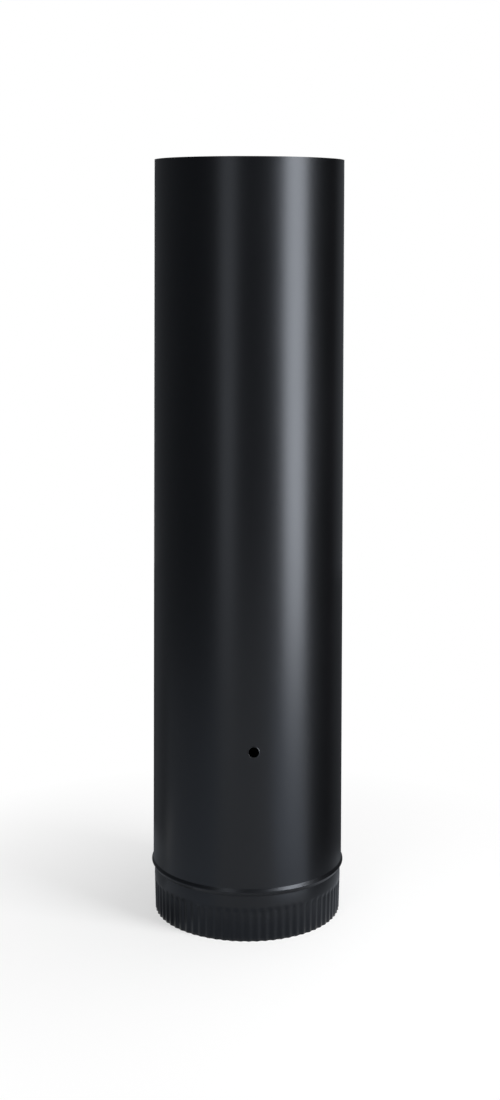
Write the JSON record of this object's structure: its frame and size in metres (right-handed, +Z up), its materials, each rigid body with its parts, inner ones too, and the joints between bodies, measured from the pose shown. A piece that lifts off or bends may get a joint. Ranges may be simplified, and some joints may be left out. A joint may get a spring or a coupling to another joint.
{
  "type": "stove pipe",
  "caption": "Straight single-wall stove pipe with a plain socket end, a rolled stop bead, a crimped fluted end, a lock seam and one small hole.",
  "frame": {"origin": "middle of the crimped end's rim, where the pipe stands", "axes": "+Z up the pipe's axis towards the plain end, -Y through the small hole, +Y through the seam"},
  "size_m": [0.1561, 0.1579, 0.6096],
  "materials": {
    "black_paint": "satin black heat-proof paint"
  },
  "bodies": {
    "root": {"pipe": "black_paint"}
  },
  "joints": []
}
